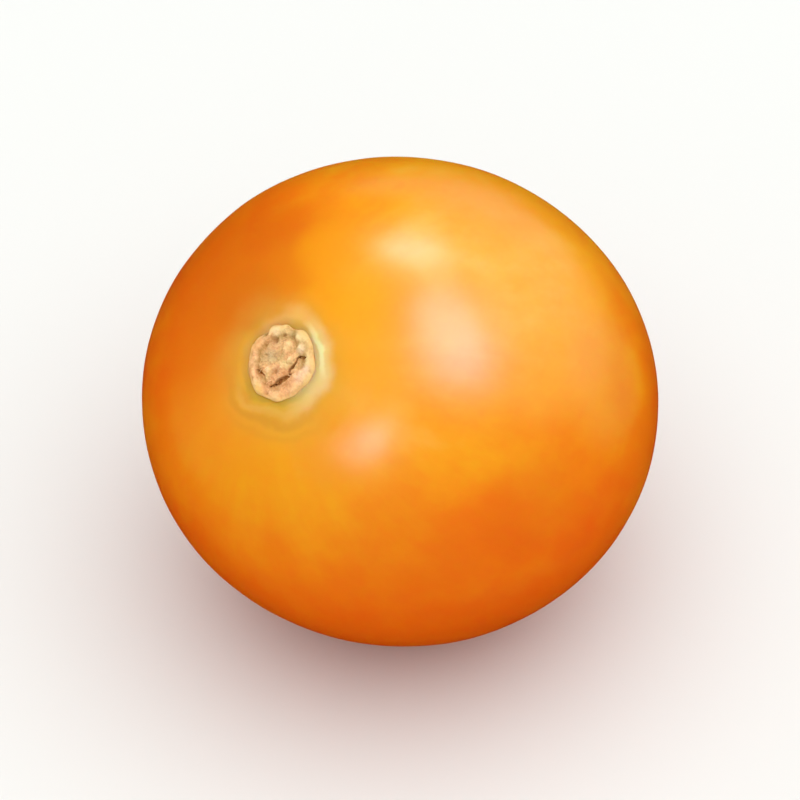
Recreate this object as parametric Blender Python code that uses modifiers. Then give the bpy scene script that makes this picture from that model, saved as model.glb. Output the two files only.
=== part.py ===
"""A ripe physalis berry, picked out of its husk and lying on its side.

Metres, +Z up. The berry rests at the origin on a small flat that its own weight presses into the
skin. Its stem scar looks up and forwards: the stem axis lies in the YZ plane and leans from +Z
towards -Y.
"""

import math

import bpy

# Driving dimensions
LENGTH = 0.0244  # blossom end to stem end, before the stem basin is pressed in
WIDE = 0.0244  # across the berry, the wide way
NARROW = 0.0233  # across the berry, the narrow way
FULLNESS = 2.08  # 2 is an ellipse; more gives broader shoulders
STEM_LEAN = math.radians(41.4)  # of the stem axis, from +Z towards -Y
WIDE_TURN = math.radians(33.0)  # of the wide way about the stem axis, from +X

BASIN_DEPTH = 0.00050  # the dip that the scar sits in
BASIN_REACH = 0.0031  # the distance from the axis where the dip fades out
SCAR_RADIUS = 0.00180
SCAR_RIM_HEIGHT = 0.00022  # of the corky rim, over the skin
SCAR_RIM_WIDTH = 0.00050
SCAR_GROOVE_DEPTH = 0.00018  # between the rim and the plug, under the skin
SCAR_RIM_EDGE = 0.00015  # how far the rim's top stops short of its outer edge
SCAR_RIM_SLOPE = 0.000125  # how far the rim's inner wall slopes in to the groove
SCAR_PLUG_RADIUS = 0.00065
SCAR_PLUG_SLOPE = 0.000195  # how much further out the plug's foot is

REST_PRESS = 0.00022  # how far the skin gives where the berry rests

BODY_STEPS = 26  # rings of the body, blossom end to scar
ROUND_STEPS = 56  # around the stem axis
GROUND_SIDE = 0.0488  # of the block that cuts the resting flat

SKIN_COLOUR = (0.92, 0.42, 0.06, 1.0)
SKIN_ROUGHNESS = 0.35
MERGE = 0.00001


def clear_scene():
    for obj in list(bpy.data.objects):
        bpy.data.objects.remove(obj, do_unlink=True)


def collection(name, shown=True):
    made = bpy.data.collections.new(name)
    made.hide_render = not shown
    bpy.context.scene.collection.children.link(made)
    return made


def skin_material():
    material = bpy.data.materials.new("berry_skin")
    material.use_nodes = True
    shader = material.node_tree.nodes["Principled BSDF"]
    shader.inputs["Base Color"].default_value = SKIN_COLOUR
    shader.inputs["Roughness"].default_value = SKIN_ROUGHNESS
    shader.inputs["Metallic"].default_value = 0.0
    return material


def body_height(angle):
    """Height on the stem axis at an angle from the blossom end, on a plain superellipse."""
    cosine = math.cos(angle)
    return -math.copysign(abs(cosine) ** (2 / FULLNESS), cosine) * LENGTH / 2


def body_reach(angle):
    """Distance from the stem axis at the same angle."""
    return abs(math.sin(angle)) ** (2 / FULLNESS) * WIDE / 2


def basin(reach):
    """How far the stem basin lowers the skin at a distance from the axis."""
    return BASIN_DEPTH * math.exp(-((reach / BASIN_REACH) ** 2))


def half_outline():
    """(reach, height) from the middle of the scar, out over its rim and down to the blossom end."""
    scar_angle = math.pi - math.asin((SCAR_RADIUS / (WIDE / 2)) ** (FULLNESS / 2))
    scar_level = body_height(scar_angle) - basin(SCAR_RADIUS)
    groove = scar_level - SCAR_GROOVE_DEPTH
    rim = scar_level + SCAR_RIM_HEIGHT
    outline = [
        (0.0, scar_level),
        (SCAR_PLUG_RADIUS, scar_level),
        (SCAR_PLUG_RADIUS + SCAR_PLUG_SLOPE, groove),
        (SCAR_RADIUS - SCAR_RIM_WIDTH - SCAR_RIM_SLOPE, groove),
        (SCAR_RADIUS - SCAR_RIM_WIDTH, rim),
        (SCAR_RADIUS - SCAR_RIM_EDGE, rim),
    ]
    for step in range(BODY_STEPS):
        angle = scar_angle * (1 - step / BODY_STEPS)
        reach = body_reach(angle)
        dip = basin(reach) if angle > math.pi / 2 else 0.0
        outline.append((reach, body_height(angle) - dip))
    outline.append((0.0, body_height(0.0)))
    return outline


def turned_berry():
    """The berry about its own stem axis, as one closed mesh, oval across the axis."""
    outline = half_outline()
    points = [(reach, 0.0, height) for reach, height in outline]
    edges = [(i, i + 1) for i in range(len(points) - 1)]
    profile = bpy.data.meshes.new("half_outline")
    profile.from_pydata(points, edges, [])
    lathe = bpy.data.objects.new("lathe", profile)
    bpy.context.scene.collection.objects.link(lathe)
    screw = lathe.modifiers.new("Turn", "SCREW")
    screw.axis = "Z"
    screw.angle = math.tau
    screw.steps = screw.render_steps = ROUND_STEPS
    screw.use_merge_vertices = True
    screw.merge_threshold = MERGE
    graph = bpy.context.evaluated_depsgraph_get()
    mesh = bpy.data.meshes.new_from_object(lathe.evaluated_get(graph))
    bpy.data.objects.remove(lathe, do_unlink=True)
    for vertex in mesh.vertices:
        vertex.co.y *= NARROW / WIDE
    return mesh


def ground_block(helpers):
    """A block whose top is the surface that the berry lies on."""
    bpy.ops.mesh.primitive_cube_add(size=GROUND_SIDE, location=(0.0, 0.0, -GROUND_SIDE / 2))
    block = bpy.context.active_object
    block.name = "ground_block"
    block.hide_render = True
    block.display_type = "WIRE"
    for owner in list(block.users_collection):
        owner.objects.unlink(block)
    helpers.objects.link(block)
    return block


def make_berry(shown, helpers):
    mesh = turned_berry()
    mesh.name = "berry"
    mesh.materials.append(skin_material())
    mesh.shade_smooth()
    berry = bpy.data.objects.new("berry", mesh)
    shown.objects.link(berry)
    berry.rotation_mode = "ZYX"  # first the turn about the stem, then the lean
    berry.rotation_euler = (STEM_LEAN, 0.0, WIDE_TURN)
    bpy.context.view_layer.update()
    lowest = min((berry.matrix_world @ vertex.co).z for vertex in mesh.vertices)
    berry.location.z = -lowest - REST_PRESS
    rest = berry.modifiers.new("Rest", "BOOLEAN")
    rest.operation = "DIFFERENCE"
    rest.object = ground_block(helpers)
    return berry


clear_scene()
make_berry(collection("physalis_berry"), collection("cutters", shown=False))
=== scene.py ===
# %% [markdown]
# # A ripe physalis berry
# This berry grew inside a papery husk and has been picked out of it. It is one smooth fruit: a
# thin waxy skin over flesh that light shines into, and a round corky scar where the stem was.
# The real shape comes first, from the solid model. It is loaded as a fixed frame, and everything
# that is made below is measured from it.

# %% Load the solid model as a frame
import math
import random

import bpy
from mathutils import Matrix, Vector


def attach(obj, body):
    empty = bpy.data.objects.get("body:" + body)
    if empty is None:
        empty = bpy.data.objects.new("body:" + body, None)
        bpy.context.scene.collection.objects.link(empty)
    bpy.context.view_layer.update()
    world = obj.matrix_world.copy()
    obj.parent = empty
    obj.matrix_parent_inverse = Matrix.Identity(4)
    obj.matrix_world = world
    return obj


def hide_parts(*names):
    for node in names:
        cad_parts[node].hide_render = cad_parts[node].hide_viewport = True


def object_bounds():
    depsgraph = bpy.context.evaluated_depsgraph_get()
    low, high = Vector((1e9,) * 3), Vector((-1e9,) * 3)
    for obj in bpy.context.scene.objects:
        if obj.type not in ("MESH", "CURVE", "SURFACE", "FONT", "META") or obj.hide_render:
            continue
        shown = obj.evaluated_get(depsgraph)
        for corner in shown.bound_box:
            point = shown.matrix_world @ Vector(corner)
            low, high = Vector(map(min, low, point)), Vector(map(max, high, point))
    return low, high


MM = 0.001  # the frame is in metres

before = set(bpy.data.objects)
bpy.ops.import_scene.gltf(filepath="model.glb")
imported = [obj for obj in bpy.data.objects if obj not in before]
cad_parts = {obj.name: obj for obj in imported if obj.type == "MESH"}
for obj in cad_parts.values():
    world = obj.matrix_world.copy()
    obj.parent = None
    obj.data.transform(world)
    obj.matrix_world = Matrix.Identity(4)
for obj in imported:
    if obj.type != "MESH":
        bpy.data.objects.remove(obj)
cad_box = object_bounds()
print("CAD box in mm:", [[round(x / MM, 2) for x in corner] for corner in cad_box])

# %% [markdown]
# ## Measure the berry along its own axes
# The berry lies on its side, so its stem axis leans. It could be modelled lying, but it is far
# easier to model it standing upright, with the stem end on top, and to lay it down at the end.
# Two angles say how it lies. With them its sizes can be read off the solid: across it, the wide
# way and the narrow way. Along the stem axis it is as long as it is wide.

# %% Axes, sizes and centre
STEM_LEAN = math.radians(41.4)  # of the stem axis, from +Z towards -Y
WIDE_TURN = math.radians(33.0)  # of the wide way about the stem axis
laid = Matrix.Rotation(STEM_LEAN, 3, "X") @ Matrix.Rotation(WIDE_TURN, 3, "Z")
wide_axis, narrow_axis, stem_axis = laid.col
corners = [corner.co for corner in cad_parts["berry"].data.vertices]


def span(axis):
    """The lowest and highest place of the solid berry along an axis."""
    along = [corner.dot(axis) for corner in corners]
    return min(along), max(along)


def middle(axis):
    return sum(span(axis)) / 2


WIDE = span(wide_axis)[1] - span(wide_axis)[0]
NARROW = span(narrow_axis)[1] - span(narrow_axis)[0]
LENGTH = WIDE  # before the stem basin is pressed in
centre = middle(wide_axis) * wide_axis + middle(narrow_axis) * narrow_axis
centre += (span(stem_axis)[0] + LENGTH / 2) * stem_axis
print("wide, narrow in mm:", round(WIDE / MM, 2), round(NARROW / MM, 2), "centre:", centre / MM)

# %% [markdown]
# ## The camera
# The camera looks down on the berry from high up, from a good way off through a long lens, so
# that the near side doesn't bulge. Its place comes from two angles, azimuth and elevation, and
# the lens from how much of the picture the berry should fill. A short lens from close by would
# fill the picture as well, but it would hide more of the sides.

# %% Put up the camera
AZIMUTH, ELEVATION = math.radians(45.2), math.radians(48.1)
DISTANCE = 0.42
FILLS = 0.64  # the berry's share of the picture's width

camera = bpy.data.objects.new("camera", bpy.data.cameras.new("camera"))
bpy.context.scene.collection.objects.link(camera)
bpy.context.scene.camera = camera
back = Vector((math.sin(AZIMUTH) * math.cos(ELEVATION),
               -math.cos(AZIMUTH) * math.cos(ELEVATION), math.sin(ELEVATION)))
box_middle = (cad_box[0] + cad_box[1]) / 2
camera.location = box_middle + DISTANCE * back
camera.rotation_euler = back.to_track_quat("Z", "Y").to_euler()
camera.data.lens = camera.data.sensor_width * DISTANCE * FILLS / WIDE
camera.data.clip_start = DISTANCE / 100
print("lens in mm:", round(camera.data.lens))

# %% [markdown]
# ## Helpers for working in edit mode
# Modelling by hand is mostly two moves: pick some corners or faces, then push them. These
# helpers do the picking by place, because a script has no mouse. Press is proportional editing:
# one corner is pushed and what lies near follows, less and less the further away it is. The last
# three finish a piece with modifiers and apply them at once, so that the mesh is what one sees.

# %% Pick, press and finish
def only(piece):
    """Selects this piece and nothing else."""
    bpy.ops.object.select_all(action="DESELECT")
    piece.select_set(True)
    bpy.context.view_layer.objects.active = piece


def pick(piece, wanted, kind="VERT"):
    """In edit mode, selects the corners or faces whose place is wanted."""
    only(piece)
    bpy.ops.object.mode_set(mode="EDIT")
    bpy.ops.mesh.select_mode(type=kind)
    bpy.ops.mesh.select_all(action="DESELECT")
    bpy.ops.object.mode_set(mode="OBJECT")
    if kind == "VERT":
        for corner in piece.data.vertices:
            corner.select = wanted(corner.co)
    else:
        for face in piece.data.polygons:
            face.select = wanted(face.center)
    bpy.ops.object.mode_set(mode="EDIT")


def press(piece, place, by, reach):
    """Moves the corner nearest a place, and its surroundings within reach follow."""
    nearest = min(piece.data.vertices, key=lambda corner: (corner.co - place).length_squared)
    target = nearest.co.copy()
    pick(piece, lambda co: co == target)
    bpy.ops.transform.translate(value=by, use_proportional_edit=True, proportional_size=reach,
                                proportional_edit_falloff="SMOOTH")
    bpy.ops.object.mode_set(mode="OBJECT")


def apply_all(piece):
    """Applies every modifier of a piece, from the top down."""
    only(piece)
    for modifier in list(piece.modifiers):
        bpy.ops.object.modifier_apply(modifier=modifier.name)


def subdivided(piece, levels):
    """Splits every face in four, once or more, and rounds the mesh."""
    smooth = piece.modifiers.new("subdivision", "SUBSURF")
    smooth.levels = smooth.render_levels = levels
    apply_all(piece)


def roughened(piece, kind, size, strength, group="", direction="NORMAL"):
    """Pushes the surface in and out by a cloudy or cellular texture of that grain size."""
    texture = bpy.data.textures.new("grain", kind)
    texture.noise_scale = size
    if kind == "VORONOI":
        texture.weight_1, texture.weight_2 = -1, 1  # dark lines between the cells
    displace = piece.modifiers.new("roughened", "DISPLACE")
    displace.texture, displace.strength, displace.vertex_group = texture, strength, group
    displace.direction = direction
    apply_all(piece)


# %% [markdown]
# ## The skin's outline
# The berry is nearly a ball. A squashed sphere would give the body, but its rings are coarse just
# where the scar needs them fine, so half of the outline is drawn and spun instead. It runs from
# the middle of the stem end round to the blossom end. The body is a slightly full ellipse. At the
# stem end a shallow basin is pressed into it, a low collar of skin stands round the place of the
# scar, and a hollow inside it will hold the cork. The blossom end has a tiny dimple.

# %% Heights along the outline
FULLNESS = 2.08  # 2 is an ellipse; more gives broader shoulders
BASIN_DEPTH, BASIN_REACH = 0.50 * MM, 3.1 * MM
COLLAR_HEIGHT, COLLAR_REACH, COLLAR_WIDTH = 0.12 * MM, 2.22 * MM, 0.36 * MM
SOCKET_DEPTH, SOCKET_REACH = 0.34 * MM, 1.66 * MM  # the hollow that holds the cork
DIMPLE_DEPTH, DIMPLE_REACH = 0.16 * MM, 0.9 * MM


def bump(distance, width):
    """A rounded bump of height 1, as a bell curve."""
    return math.exp(-((distance / width) ** 2))


def body_height(reach):
    """How far the plain body stands up or down at this distance from the stem axis."""
    return LENGTH / 2 * max(0, 1 - (2 * reach / WIDE) ** FULLNESS) ** (1 / FULLNESS)


def stem_end_height(reach):
    collar = COLLAR_HEIGHT * bump(reach - COLLAR_REACH, COLLAR_WIDTH)
    socket = SOCKET_DEPTH * (reach < SOCKET_REACH)
    return body_height(reach) - BASIN_DEPTH * bump(reach, BASIN_REACH) + collar - socket


def blossom_end_height(reach):
    return DIMPLE_DEPTH * bump(reach, DIMPLE_REACH) - body_height(reach)


for name, reach in (("middle", 0), ("collar", COLLAR_REACH), ("basin's edge", 2 * BASIN_REACH)):
    print("stem end,", name, "in mm:", round(stem_end_height(reach) / MM, 2))

# %% Draw the outline and spin it
CAP_REACH, CAP_STEPS = 4.4 * MM, 34  # the fine rings round the scar
SIDE_STEPS = 58
SPIN_STEPS = 120
SAME_POINT = 0.002 * MM  # corners closer than this are merged

cap = [CAP_REACH * step / CAP_STEPS for step in range(CAP_STEPS)]
shoulder = math.asin((2 * CAP_REACH / WIDE) ** (FULLNESS / 2))
outline = [Vector((reach, 0, stem_end_height(reach))) for reach in cap]
for step in range(SIDE_STEPS + 1):
    angle = shoulder + (math.pi - shoulder) * step / SIDE_STEPS
    reach = WIDE / 2 * max(0, math.sin(angle)) ** (2 / FULLNESS)
    ends = stem_end_height(reach), blossom_end_height(reach)
    outline.append(Vector((reach, 0, ends[angle > math.pi / 2])))

bpy.ops.object.select_all(action="DESELECT")
bpy.ops.mesh.primitive_plane_add(size=MM, location=outline[0])
skin = bpy.context.active_object
skin.name = skin.data.name = "berry_skin"
bpy.ops.object.transform_apply(location=True, rotation=True, scale=True)
bpy.ops.object.mode_set(mode="EDIT")
bpy.ops.mesh.merge(type="CENTER")
for here, there in zip(outline, outline[1:]):
    bpy.ops.mesh.extrude_region_move(TRANSFORM_OT_translate={"value": there - here})
bpy.ops.mesh.select_all(action="SELECT")
bpy.ops.mesh.spin(steps=SPIN_STEPS, angle=math.tau, center=(0, 0, 0), axis=(0, 0, 1))
bpy.ops.mesh.select_all(action="SELECT")
bpy.ops.mesh.remove_doubles(threshold=SAME_POINT)
bpy.ops.mesh.normals_make_consistent(inside=False)
bpy.ops.transform.resize(value=(1, NARROW / WIDE, 1), center_override=(0, 0, 0))
bpy.ops.object.mode_set(mode="OBJECT")
print("spun skin:", len(skin.data.polygons), "faces")

# %% [markdown]
# ## Small unevenness
# A fruit that grew is never as true as a turned ball. It could be sculpted with a brush, but a few
# presses and one texture do the same and come out the same each time. The collar is pressed here
# and there, one subdivision makes the mesh fine enough for a close look, and a cloudy texture
# with a grain of several millimetres moves the whole skin in and out by a tenth of a millimetre.
# That is enough to bend the reflections a little, and too little to change the size.

# %% Uneven collar, fine mesh, gentle lumps
COLLAR_PRESSES, PRESS_REACH = 11, 0.8 * MM
COLLAR_SPACING = -0.3, 0.3  # how far a press strays from even spacing
COLLAR_PLACE = -0.15, 0.2  # inwards and outwards of the collar's top, in mm
COLLAR_PRESS = -0.09, 0.06  # down and up, in mm
LUMP_GRAIN, LUMP_STRENGTH = 6.5 * MM, 0.11 * MM

random.seed(7)
for number in range(COLLAR_PRESSES):
    angle = math.tau * (number + random.uniform(*COLLAR_SPACING)) / COLLAR_PRESSES
    reach = COLLAR_REACH + random.uniform(*COLLAR_PLACE) * MM
    place = Vector((reach * math.cos(angle), reach * math.sin(angle), stem_end_height(reach)))
    press(skin, place, (0, 0, random.uniform(*COLLAR_PRESS) * MM), PRESS_REACH)
subdivided(skin, 1)
roughened(skin, "CLOUDS", LUMP_GRAIN, LUMP_STRENGTH)
print("fine skin:", len(skin.data.polygons), "faces")

# %% Where the scar and the dry tip will sit
SCAR_EDGE = 1.8 * MM, 2.05 * MM
TIP_EDGE = 0.3 * MM, 0.5 * MM


def skin_level(end, edge):
    """The skin's mean height at an end, 1 or -1, between two distances from the stem axis."""
    heights = [corner.co.z for corner in skin.data.vertices
               if corner.co.z * end > 0 and edge[0] < corner.co.xy.length < edge[1]]
    return sum(heights) / len(heights)


scar_base = Vector((0, 0, skin_level(1, SCAR_EDGE)))
tip_base = Vector((0, 0, skin_level(-1, TIP_EDGE)))
print("skin beside the scar at", round(scar_base.z / MM, 3), "mm")
print("skin beside the dry tip at", round(tip_base.z / MM, 3), "mm")

# %% [markdown]
# ## Lay it down
# A ripe berry gives a little where it lies. The same turn and shift put every piece where the
# solid berry is, and applying them leaves the object itself at the origin, with its place in its
# mesh. The skin that would then be below the ground could be cut off, but scaling it flat onto
# the ground keeps the mesh closed, and it is what the berry's own weight does.

# %% Lay the skin down and flatten its rest
NEARLY_NOTHING = 0.001 * MM


def lay_down(piece):
    """Turns an upright piece about its stem axis, leans it and moves it to the berry's centre."""
    only(piece)
    piece.rotation_mode = "ZYX"
    piece.rotation_euler = STEM_LEAN, 0, WIDE_TURN
    piece.location = centre
    bpy.ops.object.transform_apply(location=True, rotation=True, scale=True)


def upright(place):
    """Where a place on the upright berry is once it has been laid down."""
    return centre + laid @ Vector(place)


lay_down(skin)
pick(skin, lambda co: co.z < 0)
bpy.ops.transform.resize(value=(1, 1, 0), center_override=(0, 0, 0))
bpy.ops.object.mode_set(mode="OBJECT")
only(skin)
bpy.ops.object.shade_smooth()
flat = [corner.co.x for corner in skin.data.vertices if corner.co.z <= NEARLY_NOTHING]
print("flat:", len(flat), "corners,", round((max(flat) - min(flat)) / MM, 1), "mm wide")

# %% [markdown]
# ## Helpers for materials
# A material is a small network of nodes. One helper makes a node and fills its sockets, with a
# number where it is plain and with a link where it comes from another node. The others name the
# few things that are done again and again: arithmetic, soft edges, noise and mixing. Colours are
# given the way a paint programme shows them and changed to the linear light that Blender reckons
# in.

# %% Nodes and colours
def linear(shown):
    """A colour such as "ffb040", in the linear light that shaders use."""
    parts = [int(shown[at:at + 2], 16) / 255 for at in (0, 2, 4)]
    return [x / 12.92 if x < 0.04045 else ((x + 0.055) / 1.055) ** 2.4 for x in parts] + [1]


def node(tree, kind, settings=None, **sockets):
    """Makes a shader node. A socket given as another node's output is linked."""
    made = tree.nodes.new("ShaderNode" + kind)
    for name, value in (settings or {}).items():
        setattr(made, name, value)
    for name, value in sockets.items():
        at = int(name[1:]) if name[1:].isdigit() else name.replace("_", " ")
        if isinstance(value, bpy.types.NodeSocket):
            tree.links.new(value, made.inputs[at])
        else:
            made.inputs[at].default_value = value
    return made


def maths(tree, operation, *values):
    sockets = {f"v{at}": value for at, value in enumerate(values)}
    return node(tree, "Math", {"operation": operation}, **sockets).outputs[0]


def vector_maths(tree, operation, *values):
    """Arithmetic on vectors. A length or a dot product comes out as a number."""
    sockets = {f"v{at}": value for at, value in enumerate(values)}
    made = node(tree, "VectorMath", {"operation": operation}, **sockets)
    return made.outputs["Value" if operation in ("LENGTH", "DOT_PRODUCT") else "Vector"]


def ramp(tree, factor, stops):
    """A colour ramp from (place, colour) stops."""
    made = node(tree, "ValToRGB", Fac=factor)
    elements = made.color_ramp.elements
    while len(elements) < len(stops):
        elements.new(0.5)
    for element, (place, shown) in zip(elements, stops):
        element.position, element.color = place, linear(shown)
    return made.outputs[0]


def fade(tree, value, start, end):
    """0 where the value is at start, rising smoothly to 1 where it is at end."""
    return node(tree, "MapRange", {"interpolation_type": "SMOOTHSTEP"}, Value=value,
                From_Min=start, From_Max=end).outputs[0]


def noise(tree, vector, scale, detail=3.0, roughness=0.5):
    """A cloudy pattern of about 0 to 1, finer with a greater scale."""
    return node(tree, "TexNoise", Vector=vector, Scale=scale, Detail=detail,
                Roughness=roughness).outputs[0]


def centred(tree, pattern, spread):
    """A pattern of 0 to 1 as a push either way, half the spread at most."""
    return maths(tree, "MULTIPLY", maths(tree, "SUBTRACT", pattern, 0.5), spread)


def mixed(tree, factor, below, above, blend="MIX"):
    """Lays one colour over another, as strongly as the factor says."""
    made = node(tree, "Mix", {"data_type": "RGBA", "blend_type": blend}, Factor=factor)
    for socket, value in ((made.inputs[6], below), (made.inputs[7], above)):
        if isinstance(value, bpy.types.NodeSocket):
            tree.links.new(value, socket)
        else:
            socket.default_value = value
    return made.outputs[2]


def stains_and_painted_light(tree, colour, mask, strength, shown):
    """Lays a plain colour over another one, for stains and painted light alike: strongest where the
    mask is 1, absent where it is 0.
    """
    return mixed(tree, maths(tree, "MULTIPLY", mask, strength), colour, linear(shown))


# %% [markdown]
# ## Places for materials
# A pattern has to stay on the fruit, so it is laid out in the piece's own coordinates, moved to a
# place on the berry and stood upright along the stem axis. What is at a place is then told by the
# distance from it, and what is on a side by how far a direction is turned from it.

# %% Materials, distances and directions
def new_material(name):
    """An empty material with its shader, and its tree."""
    material = bpy.data.materials.new(name)
    material.use_nodes = True
    tree = material.node_tree
    tree.nodes.clear()
    shader = node(tree, "BsdfPrincipled")
    node(tree, "OutputMaterial", Surface=shader.outputs[0])
    return material, tree, shader


def from_place(tree, place):
    """Coordinates in metres that start at a place and stand upright along the stem axis."""
    own = node(tree, "TexCoord").outputs["Object"]
    turned = node(tree, "Mapping", {"vector_type": "TEXTURE"}, Vector=own, Location=place,
                  Rotation=(STEM_LEAN, 0, 0))
    return turned.outputs[0]


def distance_from(tree, place):
    return vector_maths(tree, "LENGTH", from_place(tree, place))


def turned_towards(tree, direction, way, width):
    """1 where a direction points this way, fading to 0 where it is width degrees off."""
    likeness = vector_maths(tree, "DOT_PRODUCT", direction, Vector(way).normalized())
    return fade(tree, likeness, math.cos(math.radians(width)), 1)


def set_shader(shader, settings):
    """Sets sockets of the shader to plain numbers or colours."""
    for name, value in settings.items():
        shader.inputs[name].default_value = value


# %% [markdown]
# ## The skin's finish
# The colour of the skin is the colour of the flesh below it. Where the flesh is thick with
# pigment it is a deep orange, and where it is paler it turns to amber; below, the same change
# also carries painted light and painted shade. It could be painted on an image, but a pattern made
# of nodes is sharp at any distance and has no seams. It needs three kinds of coordinates: the
# place, which way a point lies from the middle, and a stretched place that follows the veins from
# the stem to the blossom end.

# %% Coordinates of the skin
VEIN_STRETCH = 60.0  # the smaller, the longer the veins
RAGGED_GRAIN, RAGGEDNESS = 420.0, 1.6 * MM
SCAR_TURN = math.radians(37.8) - WIDE_TURN  # where the scar's own right-hand side is

skin_paint, tree, shader = new_material("berry_skin")
place = from_place(tree, centre)
from_middle = vector_maths(tree, "SUBTRACT", node(tree, "TexCoord").outputs["Object"], centre)
direction = vector_maths(tree, "NORMALIZE", from_middle)

parts = node(tree, "SeparateXYZ", Vector=place)
across = node(tree, "CombineXYZ", X=parts.outputs[0], Y=parts.outputs[1]).outputs[0]
around = node(tree, "SeparateXYZ", Vector=vector_maths(tree, "NORMALIZE", across))
along = maths(tree, "MULTIPLY", parts.outputs[2], VEIN_STRETCH)
lengthwise = node(tree, "CombineXYZ", X=around.outputs[0], Y=around.outputs[1], Z=along).outputs[0]

# How far each place is from the scar, a little ragged.
ragged = centred(tree, noise(tree, place, RAGGED_GRAIN, 4.0), RAGGEDNESS)
from_scar = maths(tree, "ADD", distance_from(tree, upright(scar_base)), ragged)
print("coordinates:", len(tree.nodes), "nodes")

# %% [markdown]
# ## Ripeness and painted shade
# A berry doesn't ripen all at once: one side is paler and more golden, the other a deeper orange.
# Here the pale side points up, so this is partly ripeness and partly painted light and shade: the
# top is paler, the sides and underside a deeper orange. That gives one slow change from side to
# side.
# Clouds, bands and long faint veins are added to it, and broad shoulders, some riper or less ripe,
# some painted shade and painted reflected light. The sum picks a colour from a ramp. One sum and
# one ramp keep all the tones related, which mixing many colours would not.

# %% Paleness and the flesh colour
# The pale side points up: the top paler, the underside deeper orange, partly ripeness, partly
# painted light and shade.
PALE_LIT_SIDE = Vector((0.12, -0.11, 0.98)).normalized()
CLOUD_GRAIN, CLOUD_WEIGHT = 190.0, 0.62
BAND_GRAIN, BAND_WEIGHT = 1.6, 0.45
VEIN_GRAIN, VEIN_WEIGHT = 4.6, 0.55
VEINS_START, VEINS_FULL = 3.0 * MM, 9.0 * MM  # from the scar
# Shoulders: which way, how many degrees wide, how much paler. Some ripened more or less, others
# are painted shade and painted reflected light.
SHOULDERS_AND_PAINTED_SHADE = [
    # Darker upper left: painted shade.
    ((-0.46, -0.52, 0.72), 50, -0.5),
    ((0.97, -0.25, 0.06), 38, -0.13),
    ((0.78, -0.63, -0.01), 35, -0.1),
    ((0.23, -0.93, 0.28), 32, 0.12),
    ((-0.36, 0.07, 0.93), 34, -0.2),
    ((-0.07, 0.12, 0.99), 20, -0.14),
    ((0.94, -0.15, 0.30), 28, -0.13),
    # Paler low on the left: painted reflected light.
    ((-0.24, -0.90, 0.36), 26, 0.08),
]
DEEPEST, PALEST = -0.5, 1.0
FLESH = [(0.0, "e65e03"), (0.27, "ea6703"), (0.53, "ee8004"), (0.8, "f1a30f"), (1.0, "f4b94a")]

clouds = centred(tree, noise(tree, place, CLOUD_GRAIN, 4.0, 0.6), CLOUD_WEIGHT)
bands = centred(tree, noise(tree, lengthwise, BAND_GRAIN, 2.0), BAND_WEIGHT)
veins = centred(tree, noise(tree, lengthwise, VEIN_GRAIN, 4.0, 0.6), VEIN_WEIGHT)
veins = maths(tree, "MULTIPLY", veins, fade(tree, from_scar, VEINS_START, VEINS_FULL))
paleness_and_painted_shade = vector_maths(tree, "DOT_PRODUCT", direction, PALE_LIT_SIDE)
for change in (clouds, bands, veins):
    paleness_and_painted_shade = maths(tree, "ADD", paleness_and_painted_shade, change)
for way, width, paler in SHOULDERS_AND_PAINTED_SHADE:
    change = maths(tree, "MULTIPLY", turned_towards(tree, direction, way, width), paler)
    paleness_and_painted_shade = maths(tree, "ADD", paleness_and_painted_shade, change)
pale = node(tree, "MapRange", Value=paleness_and_painted_shade, From_Min=DEEPEST, From_Max=PALEST).outputs[0]
flesh = ramp(tree, pale, FLESH)
print("ripeness:", len(SHOULDERS_AND_PAINTED_SHADE), "shoulders on one ramp of", len(FLESH), "colours")

# %% [markdown]
# ## Golden patches and painted light
# A real skin also changes in hue. Small golden clouds come where it is pale, so most on the top,
# where the paleness is partly painted light. Some patches are redder or more golden than the ramp
# allows, and each of those is one soft round patch, placed by the way it lies from the middle. The
# golden ones are the skin's tone; the deep red ones are painted shade, the pale ones near the edges
# painted reflected light, and a deeper one under the window's highlight tones that highlight down.

# %% Golden clouds and soft patches
GOLD, GOLD_GRAIN, GOLD_SHARE = "f6a70c", 260.0, 0.55
GOLD_EDGE = 0.48, 0.72  # the part of the noise over which a golden cloud fades in
GOLD_SHIFT = Vector((10 * MM, 0, 0))  # so that the golden clouds don't follow the pale ones
# Patches: which way, how many degrees wide, strength, colour. Golden ones are tone, deep red ones
# painted shade, pale ones near the edges painted reflected light.
PATCHES_AND_PAINTED_LIGHT = [
    # Deep red on the upper left: painted shade.
    ((-0.32, -0.43, 0.84), 27, 0.6, "d05e04"),
    ((-0.55, -0.48, 0.68), 30, 0.35, "cc5604"),
    ((0.19, -0.28, 0.94), 12, 0.9, "f0a404"),
    ((-0.14, -0.23, 0.96), 11, 0.7, "ee9e06"),
    ((0.37, -0.74, 0.57), 12, 0.6, "ec9606"),
    ((0.02, -0.47, 0.88), 9, 0.6, "f0a008"),
    # Pale at the right edge: painted reflected light.
    ((0.80, 0.33, 0.50), 18, 0.5, "f09c38"),
    ((0.09, 0.40, 0.91), 20, 0.4, "ee8c10"),
    # Redder on the right, and brown beside the scar: painted shade.
    ((0.72, -0.66, 0.22), 20, 0.18, "e05e00"),
    ((0.93, -0.22, 0.30), 16, 0.3, "de5a00"),
    ((-0.28, -0.56, 0.78), 11, 0.5, "b85a0c"),
    ((-0.18, -0.89, 0.42), 15, 0.4, "f09c24"),
    ((0.75, 0.03, 0.66), 13, 0.4, "f4a324"),
    # Deeper orange under the window's highlight, painted to tone that highlight down.
    ((0.45, -0.19, 0.87), 20, 0.38, "ea900c"),
]

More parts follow.
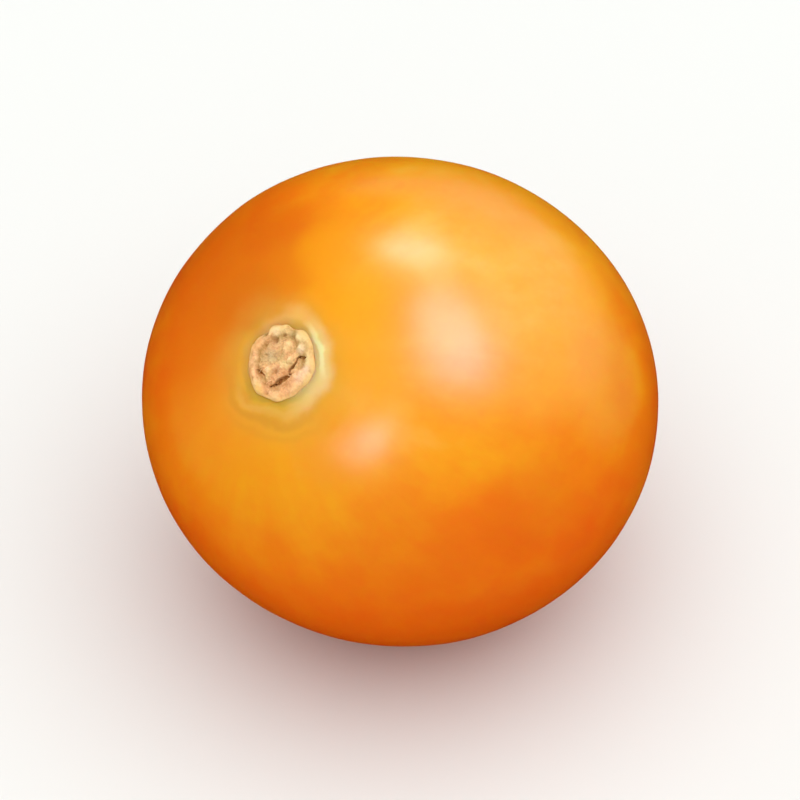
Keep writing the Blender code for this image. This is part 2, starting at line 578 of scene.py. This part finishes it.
golden = noise(tree, from_place(tree, centre + GOLD_SHIFT), GOLD_GRAIN)
golden = maths(tree, "MULTIPLY", fade(tree, golden, *GOLD_EDGE), pale)
flesh = stains_and_painted_light(tree, flesh, golden, GOLD_SHARE, GOLD)
for way, width, strength, shown in PATCHES_AND_PAINTED_LIGHT:
    flesh = stains_and_painted_light(tree, flesh, turned_towards(tree, direction, way, width), strength, shown)
print("patches:", len(PATCHES_AND_PAINTED_LIGHT))

# %% [markdown]
# ## The skin round the scar
# Round the scar the fruit stays golden and then greenish yellow, because it ripens last there.
# On one side of the collar a pale zone is partly painted light and a thin bright line is a painted
# highlight; a deeper orange zone up on the far side of the scar is painted shade, and faint
# wrinkles below the scar are painted as dark and pale arcs, their painted shade and light. They
# could be small pieces of mesh, but here they are only colour. So each is a ring, between four
# distances from the scar, and most are kept to one side of it.

# %% Golden surround, halo, crease shade, painted highlight and painted wrinkles
SURROUND, SURROUND_SHARE, SURROUND_EDGE = "eba314", 0.35, (8.5 * MM, 2.5 * MM)
# A dull olive band just round the scar: painted shade in the crease.
CREASE_SHADE, CREASE_SHADE_SHARE, CREASE_SHADE_EDGE = "d2ae5c", 0.35, (2.15 * MM, 1.85 * MM)
# Rings: where each starts, is full, is still full and ends, in mm from the scar; the angle of its
# middle and how far it reaches to either side, in degrees; strength; colour.
RINGS_AND_PAINTED_LIGHT = [
    # Deeper orange up beside the scar: painted shade.
    ((2.4, 3.4, 4.6, 8.0), (150, 65), 0.5, "dc6c06"),
    ((2.6, 3.6, 4.6, 6.5), (28, 55), 0.5, "f8ac18"),
    ((0.9, 1.4, 1.9, 4.0), None, 0.5, "e0ae48"),
    ((1.6, 2.0, 2.4, 5.2), (-85, 150), 0.45, "dea83c"),
    # Pale zone beside the collar, over the crease: partly the skin's tone, partly painted light.
    ((1.4, 1.7, 2.4, 3.1), (-14, 80), 0.75, "f2cc8e"),
    # Thin bright line on the collar: painted highlight.
    ((1.92, 2.1, 2.24, 2.48), (14, 44), 0.85, "ffe8a8"),
    ((1.9, 2.2, 2.5, 3.1), (56, 40), 0.35, "ffc880"),
    ((1.6, 1.8, 2.0, 2.5), (98, 45), 0.4, "f0b074"),
    # This and the next three: a dull line below the scar and faint wrinkles, painted shade and
    # light.
    ((1.8, 1.95, 2.1, 2.3), (-118, 90), 0.35, "b98f2c"),
    ((2.3, 2.5, 2.55, 2.8), (-105, 75), 0.30, "f4c468"),
    ((2.65, 2.9, 2.95, 3.25), (-112, 80), 0.28, "c48420"),
    ((3.3, 3.5, 3.55, 3.9), (-100, 60), 0.12, "c88a26"),
]


def ring(start, full, still_full, end):
    """1 between two distances from the scar in mm, fading to 0 outside them."""
    rising = fade(tree, from_scar, start * MM, full * MM)
    return maths(tree, "MULTIPLY", rising, fade(tree, from_scar, end * MM, still_full * MM))


def beside_the_scar(angle, width):
    """1 on the skin that lies this way from the scar, fading to 0 at width degrees from there."""
    turn = SCAR_TURN + WIDE_TURN + math.radians(angle)
    outwards = vector_maths(tree, "NORMALIZE", from_place(tree, upright(scar_base)))
    return turned_towards(tree, outwards, (math.cos(turn), math.sin(turn), 0), width)


flesh = stains_and_painted_light(tree, flesh, fade(tree, from_scar, *SURROUND_EDGE), SURROUND_SHARE, SURROUND)
flesh = stains_and_painted_light(tree, flesh, fade(tree, from_scar, *CREASE_SHADE_EDGE), CREASE_SHADE_SHARE, CREASE_SHADE)
for distances, side, strength, shown in RINGS_AND_PAINTED_LIGHT:
    zone = ring(*distances)
    if side:
        zone = maths(tree, "MULTIPLY", zone, beside_the_scar(*side))
    flesh = stains_and_painted_light(tree, flesh, zone, strength, shown)
print("rings round the scar:", len(RINGS_AND_PAINTED_LIGHT))

# %% [markdown]
# ## Light, wax and the blossom end
# At the blossom end a pale patch shows where the veins meet, and it browns close to the tip. Light
# goes some way into the flesh before it comes back, red light furthest, which is what subsurface
# scattering does. A plain matt colour would look like painted clay. A thin wax gives a soft gloss,
# a little duller here and there, and a very fine grain.

# %% Finish the skin
# Stains at the tip: where each is full and where it ends, in mm; strength; colour.
TIP_STAINS = [(0.5, 4.5, 0.4, "f4a63a"), (0.35, 1.1, 0.6, "a86a1e")]
WAX_GRAIN, SHINIEST, DULLEST = 700.0, 0.276, 0.318
SKIN_GRAIN, GRAIN_HEIGHT, GRAIN_STRENGTH = 3200.0, 0.02 * MM, 0.12

from_tip = maths(tree, "ADD", distance_from(tree, upright(tip_base)), ragged)
for full, end, strength, shown in TIP_STAINS:
    flesh = stains_and_painted_light(tree, flesh, fade(tree, from_tip, end * MM, full * MM), strength, shown)
tree.links.new(flesh, shader.inputs["Base Color"])
set_shader(shader, {"Subsurface Weight": 0.85, "Subsurface Radius": (1.0, 0.36, 0.10),
                    "Subsurface Scale": 3.5 * MM, "IOR": 1.42})
wax = noise(tree, place, WAX_GRAIN, 4.0)
shine = node(tree, "MapRange", Value=wax, To_Min=SHINIEST, To_Max=DULLEST).outputs[0]
tree.links.new(shine, shader.inputs["Roughness"])
grain = noise(tree, place, SKIN_GRAIN, 2.0)
relief = node(tree, "Bump", Strength=GRAIN_STRENGTH, Distance=GRAIN_HEIGHT, Height=grain).outputs[0]
tree.links.new(relief, shader.inputs["Normal"])
skin.data.materials.append(skin_paint)
print("skin material:", len(tree.nodes), "nodes")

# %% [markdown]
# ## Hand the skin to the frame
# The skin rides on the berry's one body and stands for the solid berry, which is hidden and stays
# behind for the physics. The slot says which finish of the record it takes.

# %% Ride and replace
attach(skin, "root")
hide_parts("berry")
print("the skin stands for the solid berry")

# %% [markdown]
# ## The stem scar
# Where the stalk broke off, the berry has a round corky scar. Its rim is a thick uneven ring,
# and inside it lies the stump of the stalk's core, torn loose along a crooked crack. It could be
# sculpted freely, but even rings of faces make it easy to press and crack later. So it starts as
# a short cylinder. Its top face is inset again and again, and each new ring is raised, lowered
# or shifted sideways, which turns the flat top into a rim, a trough and a core. The last face is
# filled with a grid, so that no corner has a hundred edges.

# %% Cork disc, ring by ring
SCAR_REACH, SCAR_SIDES = 1.82 * MM, 96
FOOT = 0.45 * MM  # how thick the disc is, most of it in the skin
PROUD = 0.03 * MM  # how far its edge stands above the skin
# Each ring: how far in, how far up, both in mm.
RIM = [(0.07, 0.05), (0.07, 0.05), (0.08, 0.04), (0.08, 0.02), (0.07, 0.0), (0.06, -0.01)]
TROUGH = [(0.06, -0.02), (0.06, -0.01), (0.06, 0.0), (0.06, 0.0), (0.06, 0.015), (0.06, 0.02)]
CORE = [(0.07, 0.02), (0.07, 0.0)]
CORE_SHIFT = 0.008, 130  # of each trough ring, in mm and degrees


def on_scar(reach, angle, height=0.0):
    """A place on the scar, from mm and degrees counted from its own right-hand side."""
    turn = SCAR_TURN + math.radians(angle)
    return scar_base + MM * Vector((reach * math.cos(turn), reach * math.sin(turn), height))


bpy.ops.object.select_all(action="DESELECT")
bpy.ops.mesh.primitive_cylinder_add(vertices=SCAR_SIDES, radius=SCAR_REACH, depth=FOOT,
                                    location=scar_base + Vector((0, 0, PROUD - FOOT / 2)))
scar = bpy.context.active_object
scar.name = scar.data.name = "stem_scar"
bpy.ops.object.transform_apply(location=True, rotation=True, scale=True)
pick(scar, lambda co: co.z > scar_base.z, "FACE")
shift = on_scar(*CORE_SHIFT) - scar_base
for width, rise in RIM + TROUGH + CORE:
    bpy.ops.mesh.inset(thickness=width * MM, depth=0)
    sideways = shift if (width, rise) in TROUGH else Vector()
    bpy.ops.transform.translate(value=sideways + Vector((0, 0, rise * MM)))
bpy.ops.mesh.delete(type="ONLY_FACE")
bpy.ops.mesh.select_mode(type="EDGE")
bpy.ops.mesh.select_non_manifold()
bpy.ops.mesh.fill_grid(span=SCAR_SIDES // 4)
bpy.ops.object.mode_set(mode="OBJECT")
print("cork disc:", len(scar.data.polygons), "faces")

# %% [markdown]
# ## An uneven rim
# Torn cork is never round. Its outline is pushed out or in at a few chosen angles, and then
# corners along the rim are pushed sideways, up or down, and their surroundings follow. The second
# pushes are drawn at random, but from a fixed seed, so that they come out the same each time.

# %% Push the rim about
# Pushes on the outline: the angle, and how far outwards in mm.
OUTLINE_REACH, OUTLINE_HEIGHT, OUTLINE_SPREAD = 1.75, 0.1, 0.55 * MM
OUTLINE = {44: 0.08, 8: -0.12, -48: -0.12, -95: 0.04, -135: 0.10, -172: -0.10, 150: 0.04,
           120: -0.14, 93: -0.05, 68: -0.10}
RIM_PUSHES, RIM_REACH, RIM_HEIGHT, RIM_SPREAD = 17, 1.68, 0.2, 0.42 * MM
RIM_SPACING = -0.35, 0.35  # how far a push strays from even spacing
RIM_OUTWARDS, RIM_UPWARDS = (-0.10, 0.08), (-0.05, 0.08)  # in mm


def outwards(angle):
    """A vector of 1 mm from the middle of the scar towards an angle."""
    return on_scar(1, angle) - scar_base


for angle, by in OUTLINE.items():
    place = on_scar(OUTLINE_REACH, angle, OUTLINE_HEIGHT)
    press(scar, place, by * outwards(angle), OUTLINE_SPREAD)
random.seed(11)
for number in range(RIM_PUSHES):
    angle = 360 * (number + random.uniform(*RIM_SPACING)) / RIM_PUSHES
    sideways = random.uniform(*RIM_OUTWARDS) * outwards(angle)
    upwards = Vector((0, 0, random.uniform(*RIM_UPWARDS) * MM))
    press(scar, on_scar(RIM_REACH, angle, RIM_HEIGHT), sideways + upwards, RIM_SPREAD)
subdivided(scar, 1)
print("uneven rim:", len(OUTLINE) + RIM_PUSHES, "pushes")

# %% [markdown]
# ## Lumps and dents
# The cork is lifted along one side of the crack, as a loose flap, and has knobs and pits of about
# a quarter of a millimetre. A texture would put them anywhere, so each is pressed in its own
# place.

# %% Press the lumps and dents
# Each: reach in mm, angle in degrees, rise and spread in mm. Dents have a minus.
TOP_HEIGHT = 0.15
FLAP = [
    (1.42, -14, 0.06, 0.35), (1.28, -32, 0.12, 0.5), (1.22, -56, 0.09, 0.5), (1.2, -84, 0.05, 0.45),
]
LUMPS = [
    (1.24, 27, 0.20, 0.27), (0.72, -156, 0.22, 0.20), (0.15, -60, 0.08, 0.28),
    (0.50, 12, 0.10, 0.3), (0.95, 60, 0.12, 0.3), (1.42, 46, 0.10, 0.28), (1.55, 95, 0.10, 0.2),
    (1.45, 142, 0.08, 0.25), (1.32, 168, 0.09, 0.22), (1.62, -132, 0.06, 0.3),
    (0.35, -150, 0.05, 0.2), (0.65, 62, 0.10, 0.25), (1.68, 30, 0.08, 0.2),
]
DENTS = [
    (1.06, 104, -0.12, 0.28), (1.40, 61, -0.13, 0.26), (0.86, 155, -0.08, 0.26),
    (0.45, 130, -0.09, 0.26), (1.70, 18, -0.08, 0.16), (0.55, -124, -0.10, 0.24),
    (1.16, 3, -0.05, 0.22), (1.12, -163, -0.06, 0.28), (0.9, -105, -0.06, 0.2),
    (1.66, -92, -0.10, 0.2), (1.66, -158, -0.12, 0.2), (1.6, 118, -0.12, 0.22),
    (1.70, -22, -0.08, 0.18), (1.70, -60, -0.04, 0.16), (1.66, 160, -0.05, 0.18),
    (1.66, 76, -0.10, 0.17), (1.58, -118, -0.07, 0.15), (1.5, 182, -0.08, 0.16),
    (1.3, 78, -0.08, 0.16), (1.2, 128, -0.08, 0.18),
]
for reach, angle, rise, spread in FLAP + LUMPS + DENTS:
    press(scar, on_scar(reach, angle, TOP_HEIGHT), (0, 0, rise * MM), spread * MM)
print("lumps and dents:", len(FLAP + LUMPS + DENTS))

# %% [markdown]
# ## The cracks
# A crack is a line of points with a width. Pressing would only give a soft valley, so the faces
# near the line are picked and extruded down into the cork, which gives the crack the steep torn
# walls that it has.

# %% Tear the cork
# Each point of a crack: reach in mm, angle in degrees, half its width in mm.
CRACKS = [
    [(1.25, -118, 0.02), (1.10, -108, 0.07), (0.90, -93, 0.13), (0.80, -76, 0.12),
     (0.82, -58, 0.08), (0.80, -48, 0.03)],
    [(0.72, -54, 0.02), (0.66, -40, 0.08), (0.72, -22, 0.09), (0.82, -6, 0.05), (0.90, 4, 0.02)],
    [(0.86, 6, 0.02), (1.02, 9, 0.06), (1.22, 5, 0.06), (1.38, 3, 0.02)],
    [(1.26, -170, 0.01), (1.16, -163, 0.06), (1.04, -155, 0.04), (1.0, -148, 0.01)],
]
CRACK_DEPTH = 0.18 * MM


def in_crack(co):
    """Whether a place on the cork's top lies within a crack's width of its line."""
    for crack in CRACKS:
        for (reach, angle, half), (next_reach, next_angle, next_half) in zip(crack, crack[1:]):
            start, end = on_scar(reach, angle), on_scar(next_reach, next_angle)
            run = (end - start).xy
            share = min(1, max(0, (co - start).xy.dot(run) / run.length_squared))
            off = (co.xy - start.xy - share * run).length
            if off < MM * (half + share * (next_half - half)):
                return co.z > scar_base.z
    return False


pick(scar, in_crack, "FACE")
bpy.ops.mesh.extrude_region_move(TRANSFORM_OT_translate={"value": (0, 0, -CRACK_DEPTH)})
bpy.ops.object.mode_set(mode="OBJECT")
subdivided(scar, 1)
print("torn cork:", len(scar.data.polygons), "faces")

# %% [markdown]
# ## Crumbs
# Close up, cork is crumbly. Two cellular textures break the surface into crumbs and two cloudy
# ones make it uneven, each with its own grain. They act straight up and down, because along the
# normal they would push the steep walls of the crack through each other. A vertex group, which is
# a weight for each corner, keeps the firmer outer rim smoother.

# %% Crumble the cork
# Each: texture, grain and height in mm.
CRUMBS = [("CLOUDS", 0.30, 0.12), ("VORONOI", 0.36, 0.16), ("VORONOI", 0.17, 0.10),
          ("CLOUDS", 0.09, 0.08)]
FIRM_FROM, FIRM_TO, FIRM_SHARE = 1.0, 1.6, 0.5  # between these reaches the cork gets firmer
BELOW_EDGE = 0.02 * MM  # how far down its outer wall the cork is crumbly

crumbly = scar.vertex_groups.new(name="crumbly")
for corner in scar.data.vertices:
    reach = (corner.co - scar_base).xy.length / MM
    share = min(1, max(0, (reach - FIRM_FROM) / (FIRM_TO - FIRM_FROM)))
    if corner.co.z > scar_base.z - BELOW_EDGE:
        crumbly.add([corner.index], 1 - FIRM_SHARE * share, "REPLACE")
for kind, grain, rise in CRUMBS:
    roughened(scar, kind, grain * MM, rise * MM, "crumbly", "Z")
print("crumbled with", len(CRUMBS), "textures")

# %% [markdown]
# ## Threads in the torn cork
# Fine threads fed the fruit through its stalk, and their torn ends still stand in the scar, some
# bent over, some bridging the crack. Curves with a round bevel would do, but they don't taper
# without more curves. So one thread is drawn out of a small six-sided disc, a step at a time,
# thinner and further over with each step. Then it is copied, turned and stretched.

# %% One thread
THREAD_SIDES, THREAD_RADIUS = 6, 0.030 * MM
# Each step: how far over, how far up, both in mm.
THREAD_STEPS = [(0.0, 0.05), (0.03, 0.04), (0.05, 0.015), (0.06, 0.01), (0.055, -0.01),
                (0.05, 0.005)]
THREAD_THINNER = 0.82

bpy.ops.object.select_all(action="DESELECT")
bpy.ops.mesh.primitive_circle_add(vertices=THREAD_SIDES, radius=THREAD_RADIUS, fill_type="NGON")
thread = bpy.context.active_object
bpy.ops.object.mode_set(mode="EDIT")
bpy.ops.mesh.select_all(action="SELECT")
for over, up in THREAD_STEPS:
    bpy.ops.mesh.extrude_region_move(TRANSFORM_OT_translate={"value": (over * MM, 0, up * MM)})
    bpy.ops.transform.resize(value=[THREAD_THINNER] * 3)
bpy.ops.mesh.select_all(action="SELECT")
bpy.ops.mesh.normals_make_consistent(inside=False)
bpy.ops.object.mode_set(mode="OBJECT")
print("one thread:", len(thread.data.polygons), "faces")

# %% Set the threads in the scar
# Where each stands: reach in mm, angle and bend in degrees, and how long it is.
THREADS = [
    (1.12, 75, 200, 0.9), (1.14, 128, 20, 0.7), (1.10, 160, 300, 0.8), (1.02, -165, 240, 0.9),
    (0.92, -118, -150, 1.1), (0.78, -62, -20, 1.3), (0.98, 8, -70, 1.0), (1.30, 18, 150, 0.9),
    (1.20, 52, 250, 0.7), (1.18, 96, 120, 0.8), (1.06, 182, 60, 0.7), (0.35, 60, 10, 0.6),
    (0.55, -170, 120, 0.6),
]
THREAD_SUNK = 0.03 * MM
CLOSE_BY = 0.05 * MM


def cork_top(place):
    """The highest corner of the cork close to a place."""
    near = [corner.co for corner in scar.data.vertices
            if (corner.co - place).xy.length < CLOSE_BY]
    return max(near, key=lambda co: co.z)


threads = []
for reach, angle, bend, length in THREADS:
    only(thread)
    bpy.ops.object.duplicate()
    copy = bpy.context.active_object
    copy.location = cork_top(on_scar(reach, angle)) - Vector((0, 0, THREAD_SUNK))
    copy.rotation_euler.z = SCAR_TURN + math.radians(bend)
    copy.scale = [length] * 3
    bpy.ops.object.transform_apply(location=True, rotation=True, scale=True)
    threads.append(copy)
only(thread)
bpy.ops.object.delete()
for copy in threads:
    copy.select_set(True)
fibres = bpy.context.view_layer.objects.active = threads[0]
bpy.ops.object.join()
fibres.name = fibres.data.name = "scar_threads"
print("threads:", len(threads), "with", len(fibres.data.polygons), "faces")

# %% Lay the scar down
for piece in (scar, fibres):
    lay_down(piece)
    bpy.ops.object.shade_smooth()
print("laid down:", scar.name, "and", fibres.name)

# %% [markdown]
# ## The cork's finish
# Cork darkens where it is torn deep and dries pale where it stands up. It could be painted by
# hand, but its colour can follow its height above the skin, from dark brown in the crack to cream
# on the rim, with some grain. The dark brown in the crack and pits is partly the cork's own colour
# and partly painted shade, and the cream on raised crumbs partly painted light. The rim and its
# outer wall are counted as a little higher than they are: the rim because it dries palest, the
# outer wall as painted light against the shade that falls on it.

# %% Colour by height
# Lifts: from which reach to which, in mm, and by how many mm. The last one paints the outer wall
# paler, as painted light.
LIFTS_AND_PAINTED_LIGHT = [(1.3, 1.0, 0.05), (1.1, 1.55, 0.06), (1.58, 1.78, 0.20)]
CORK_GRAIN, GRAIN_LIFT = 9000.0, 0.16 * MM
CORK_LOW, CORK_HIGH = -0.23 * MM, 0.33 * MM
# Dark in the crack to cream on top: partly the cork's colour, partly painted shade and light.
CORK_COLOURS_AND_SHADE = [(0.0, "562808"), (0.2, "7e4610"), (0.36, "a46a2c"), (0.50, "c09458"),
                (0.64, "deb27e"), (0.77, "f6cf9a"), (0.94, "fee2b2")]

cork, tree, shader = new_material("stem_scar_cork")
place = from_place(tree, upright(scar_base))
parts = node(tree, "SeparateXYZ", Vector=place)
sideways = node(tree, "CombineXYZ", X=parts.outputs[0], Y=parts.outputs[1]).outputs[0]
reach = vector_maths(tree, "LENGTH", sideways)
height = parts.outputs[2]
for start, end, higher in LIFTS_AND_PAINTED_LIGHT:
    lift = maths(tree, "MULTIPLY", fade(tree, reach, start * MM, end * MM), higher * MM)
    height = maths(tree, "ADD", height, lift)
fine = noise(tree, place, CORK_GRAIN, 4.0, 0.6)
height = maths(tree, "ADD", height, centred(tree, fine, GRAIN_LIFT))
level = node(tree, "MapRange", Value=height, From_Min=CORK_LOW, From_Max=CORK_HIGH).outputs[0]
cork_colour = ramp(tree, level, CORK_COLOURS_AND_SHADE)
print("cork colours:", len(CORK_COLOURS_AND_SHADE))

# %% [markdown]
# ## Stains, painted shade and highlights on the cork
# One side of the scar is greener and the other redder. Old cork also has stains and bleached
# places, which noise alone would put anywhere, so each of them is one soft spot. Some spots are
# painted light instead: the darker ones in the dents and the crack are painted shade, and cream
# ones on lumps are painted highlights. At its foot the cork takes on the colour of the skin that it
# grew out of.

# %% Tint, blotches and soft spots
BLOTCH, BLOTCH_GRAIN, BLOTCH_EDGE, BLOTCH_SHARE = "d09a66", 2300.0, (0.5, 0.68), 0.55
TINT_GRAIN, TINT_SHARE, GREEN_SHARE = 1400.0, 0.6, -0.1 / MM
GREEN_SIDE = on_scar(1, 80).xy.to_3d() / MM  # the greener side of the cork
TINTS = [(0.36, "e8ecc6"), (0.5, "fae9ca"), (0.64, "ffd8bc")]
FOOT_COLOUR, FOOT_SHARE, FOOT_EDGE = "e8b662", 0.7, (1.50 * MM, 1.84 * MM)
# Spots: reach in mm, angle in degrees, width in mm, strength, colour. Some are stains, darker ones
# in dents and the crack painted shade, cream ones on lumps painted highlights.
SPOT_HEIGHT = 0.15
SPOTS_STAINS_AND_PAINTED_LIGHT = [
    (1.63, 142, 0.45, 0.55, "f4a660"), (1.72, -135, 0.5, 0.7, "fcc464"),
    (1.06, 104, 0.36, 0.5, "bc946c"), (1.40, 61, 0.34, 0.5, "baa870"),
    (0.45, 135, 0.5, 0.4, "c8ae76"), (0.66, 145, 0.6, 0.4, "c6b48c"),
    (0.95, 152, 0.35, 0.2, "c8a05e"), (1.11, -167, 0.28, 0.4, "9c6426"),
    (1.22, 25, 0.34, 0.7, "fce0b6"), (0.71, -156, 0.16, 0.7, "ffe0b8"),
    (1.44, -20, 0.40, 0.5, "fcd2b8"), (1.30, -40, 0.45, 0.5, "ffd8b4"),
    (1.47, 97, 0.30, 0.6, "ffdfae"), (1.62, -88, 0.45, 0.5, "fcc484"),
    (1.62, -60, 0.35, 0.5, "f6c88a"), (1.50, 165, 0.35, 0.5, "f8c088"),
    (0.90, -92, 0.28, 0.7, "7c4208"), (1.22, 6, 0.24, 0.5, "c49c6c"),
    (0.43, -119, 0.35, 0.4, "cc9a70"), (1.8, 40, 0.30, 0.5, "f8dca0"),
]

blotches = fade(tree, noise(tree, place, BLOTCH_GRAIN, 4.0, 0.6), *BLOTCH_EDGE)
cork_colour = stains_and_painted_light(tree, cork_colour, blotches, BLOTCH_SHARE, BLOTCH)
green = maths(tree, "MULTIPLY", vector_maths(tree, "DOT_PRODUCT", place, GREEN_SIDE), GREEN_SHARE)
warmth = maths(tree, "ADD", noise(tree, place, TINT_GRAIN), green)
cork_colour = mixed(tree, TINT_SHARE, cork_colour, ramp(tree, warmth, TINTS), "MULTIPLY")
for from_middle, angle, width, strength, shown in SPOTS_STAINS_AND_PAINTED_LIGHT:
    off = distance_from(tree, upright(on_scar(from_middle, angle, SPOT_HEIGHT)))
    cork_colour = stains_and_painted_light(tree, cork_colour, fade(tree, off, width * MM, 0), strength, shown)
foot = fade(tree, reach, *FOOT_EDGE)
cork_colour = stains_and_painted_light(tree, cork_colour, foot, FOOT_SHARE, FOOT_COLOUR)
print("soft spots:", len(SPOTS_STAINS_AND_PAINTED_LIGHT))

# %% Finish the cork and hand it to the frame
CORK_RELIEF, CORK_RELIEF_STRENGTH = 0.03 * MM, 0.5

tree.links.new(cork_colour, shader.inputs["Base Color"])
set_shader(shader, {"Roughness": 0.8, "Specular IOR Level": 0.2, "Subsurface Weight": 0.25,
                    "Subsurface Radius": (1.0, 0.5, 0.25), "Subsurface Scale": 0.3 * MM})
relief = node(tree, "Bump", Strength=CORK_RELIEF_STRENGTH, Distance=CORK_RELIEF,
              Height=fine).outputs[0]
tree.links.new(relief, shader.inputs["Normal"])
for piece in (scar, fibres):
    piece.data.materials.append(cork)
    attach(piece, "root")
print("cork material:", len(tree.nodes), "nodes")

# %% [markdown]
# ## The blossom end
# Opposite the stem sits the dry tip where the flower's style broke off. It is a dark speck less
# than a millimetre across, with a raised edge, a hollow and a broken stub in the middle. A dark
# spot of colour would pass from afar, but not close up. So it is made in the same way as the
# scar, on the face that looks away from the stem.

# %% Dry tip
TIP_REACH, TIP_SIDES, TIP_FOOT, TIP_SUNK = 0.40 * MM, 24, 0.30 * MM, 0.02 * MM
# Each ring: how far in, how far out of the berry, both in mm.
TIP_RINGS = [(0.03, 0.04), (0.04, 0.03), (0.05, 0.0), (0.05, -0.05), (0.05, -0.04), (0.03, 0.02),
             (0.01, 0.09), (0.02, 0.02), (0.03, -0.03)]
TIP_PRESSES, TIP_SPREAD = 9, 0.2 * MM
TIP_SIDEWAYS = -0.2, 0.2  # as a share of its reach
TIP_UPWARDS = -0.03, 0.02  # in mm
TIP_GRAIN, TIP_ROUGHNESS = 0.09 * MM, 0.05 * MM

bpy.ops.object.select_all(action="DESELECT")
bpy.ops.mesh.primitive_cylinder_add(vertices=TIP_SIDES, radius=TIP_REACH, depth=TIP_FOOT,
                                    location=tip_base + Vector((0, 0, TIP_FOOT / 2 - TIP_SUNK)))
tip = bpy.context.active_object
tip.name = tip.data.name = "blossom_tip"
bpy.ops.object.transform_apply(location=True, rotation=True, scale=True)
pick(tip, lambda co: co.z < tip_base.z, "FACE")
for width, out in TIP_RINGS:
    bpy.ops.mesh.inset(thickness=width * MM, depth=0)
    bpy.ops.transform.translate(value=(0, 0, -out * MM))
bpy.ops.mesh.poke()
bpy.ops.object.mode_set(mode="OBJECT")
random.seed(5)
for number in range(TIP_PRESSES):
    angle = math.tau * number / TIP_PRESSES
    edge = TIP_REACH * Vector((math.cos(angle), math.sin(angle), 0))
    sideways = random.uniform(*TIP_SIDEWAYS) * edge
    upwards = Vector((0, 0, random.uniform(*TIP_UPWARDS) * MM))
    press(tip, tip_base + edge, sideways + upwards, TIP_SPREAD)
subdivided(tip, 2)
roughened(tip, "CLOUDS", TIP_GRAIN, TIP_ROUGHNESS)
lay_down(tip)
bpy.ops.object.shade_smooth()
print("tip:", len(tip.data.polygons), "faces")

# %% Dry tip material
DRY_GRAIN, DRY_RELIEF, DRY_RELIEF_STRENGTH = 7000.0, 0.02 * MM, 0.5
DRY_COLOURS = [(0.3, "3a200e"), (0.55, "6b4220"), (0.75, "a87844")]

dry, tree, shader = new_material("dry_tip")
fine = noise(tree, from_place(tree, upright(tip_base)), DRY_GRAIN, 4.0, 0.6)
tree.links.new(ramp(tree, fine, DRY_COLOURS), shader.inputs["Base Color"])
set_shader(shader, {"Roughness": 0.85})
relief = node(tree, "Bump", Strength=DRY_RELIEF_STRENGTH, Distance=DRY_RELIEF,
              Height=fine).outputs[0]
tree.links.new(relief, shader.inputs["Normal"])
tip.data.materials.append(dry)
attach(tip, "root")
print("dry tip material:", len(tree.nodes), "nodes")

# %% [markdown]
# ## Floor and world
# A plain pale floor and a pale world give the berry an even surround. Both would also be mirrored
# in the wax and wash its colour out, so they are kept out of the gloss.

# %% Floor and world
FLOOR_SIZE, FLOOR_COLOUR = 6, "e7e9e6"
WORLD_STRENGTH = 0.76

bpy.ops.object.select_all(action="DESELECT")
bpy.ops.mesh.primitive_plane_add(size=FLOOR_SIZE)
floor = bpy.context.active_object
floor.name = "floor"
floor_paint, tree, shader = new_material("pale_floor")
set_shader(shader, {"Base Color": linear(FLOOR_COLOUR), "Roughness": 0.9, "Specular IOR Level": 0})
floor.data.materials.append(floor_paint)
floor.visible_glossy = False

world = bpy.data.worlds.new("pale_world")
bpy.context.scene.world = world
world.use_nodes = True
background = world.node_tree.nodes["Background"]
background.inputs["Color"].default_value = (1, 1, 1, 1)
background.inputs["Strength"].default_value = WORLD_STRENGTH
world.cycles_visibility.glossy = False
bpy.context.scene.view_settings.view_transform = "Standard"
print("floor:", FLOOR_SIZE, "m wide")

# %% [markdown]
# ## Soft lights
# The light that shapes the body and the light that shows as highlights are set apart, so that
# each can be placed freely. One wide ceiling light gives the body its light and stays out of the
# gloss. Six others are seen only in the gloss. Three of them make the highlights: a window, a
# smaller one beyond it and a card low in front. The other three are weak and bluish, and lay a
# faint sheen on the shoulders and along the far edge.

# %% Put up the lights
SHINES = [  # name, which way it lies, width and height in m, watts, colour, turn in degrees
    ("window_shine", (0.375, 0.111, 0.92), 0.60, 0.88, 12.9, (1, 0.76, 1), 18),
    ("strip_shine", (-0.344, 0.418, 0.841), 0.45, 0.30, 4.2, (1, 0.86, 1), 0),
    ("card_shine", (0.391, -0.79, 0.472), 0.34, 0.25, 3.4, (1, 0.82, 1), 0),
    ("sky_shine", (0.464, 0.607, 0.646), 1.5, 1.5, 4.6, (0.25, 0.55, 1), 0),
    ("side_shine", (0.627, 0.175, 0.758), 0.50, 0.60, 1.8, (0.2, 0.45, 1), 0),
    ("rim_shine", (-0.10, 0.99, 0.12), 2.4, 0.5, 2.2, (0.5, 0.75, 1), 0),
]


def soft_light(name, towards, width, height, power, colour=(1, 1, 1), turn=0, gloss=True):
    """An oval light a metre off. It gives either the gloss its highlights or the body its light."""
    lamp = bpy.data.objects.new(name, bpy.data.lights.new(name, "AREA"))
    bpy.context.scene.collection.objects.link(lamp)
    lamp.data.shape, lamp.data.size, lamp.data.size_y = "ELLIPSE", width, height
    lamp.data.energy, lamp.data.color = power, colour
    lamp.visible_diffuse, lamp.visible_glossy, lamp.visible_camera = not gloss, gloss, False
    towards = Vector(towards).normalized()
    across = camera.matrix_basis.to_3x3().col[0]
    across = (across - across.dot(towards) * towards).normalized()
    across.rotate(Matrix.Rotation(math.radians(turn), 3, towards))
    lamp.matrix_world = Matrix.Translation(centre + towards) @ Matrix(
        (across, towards.cross(across), towards)).transposed().to_4x4()


soft_light("ceiling", (0.14, -0.02, 0.98), 1.5, 1.5, 7.6, gloss=False)
for shine in SHINES:
    soft_light(*shine)
print("lights:", 1 + len(SHINES))
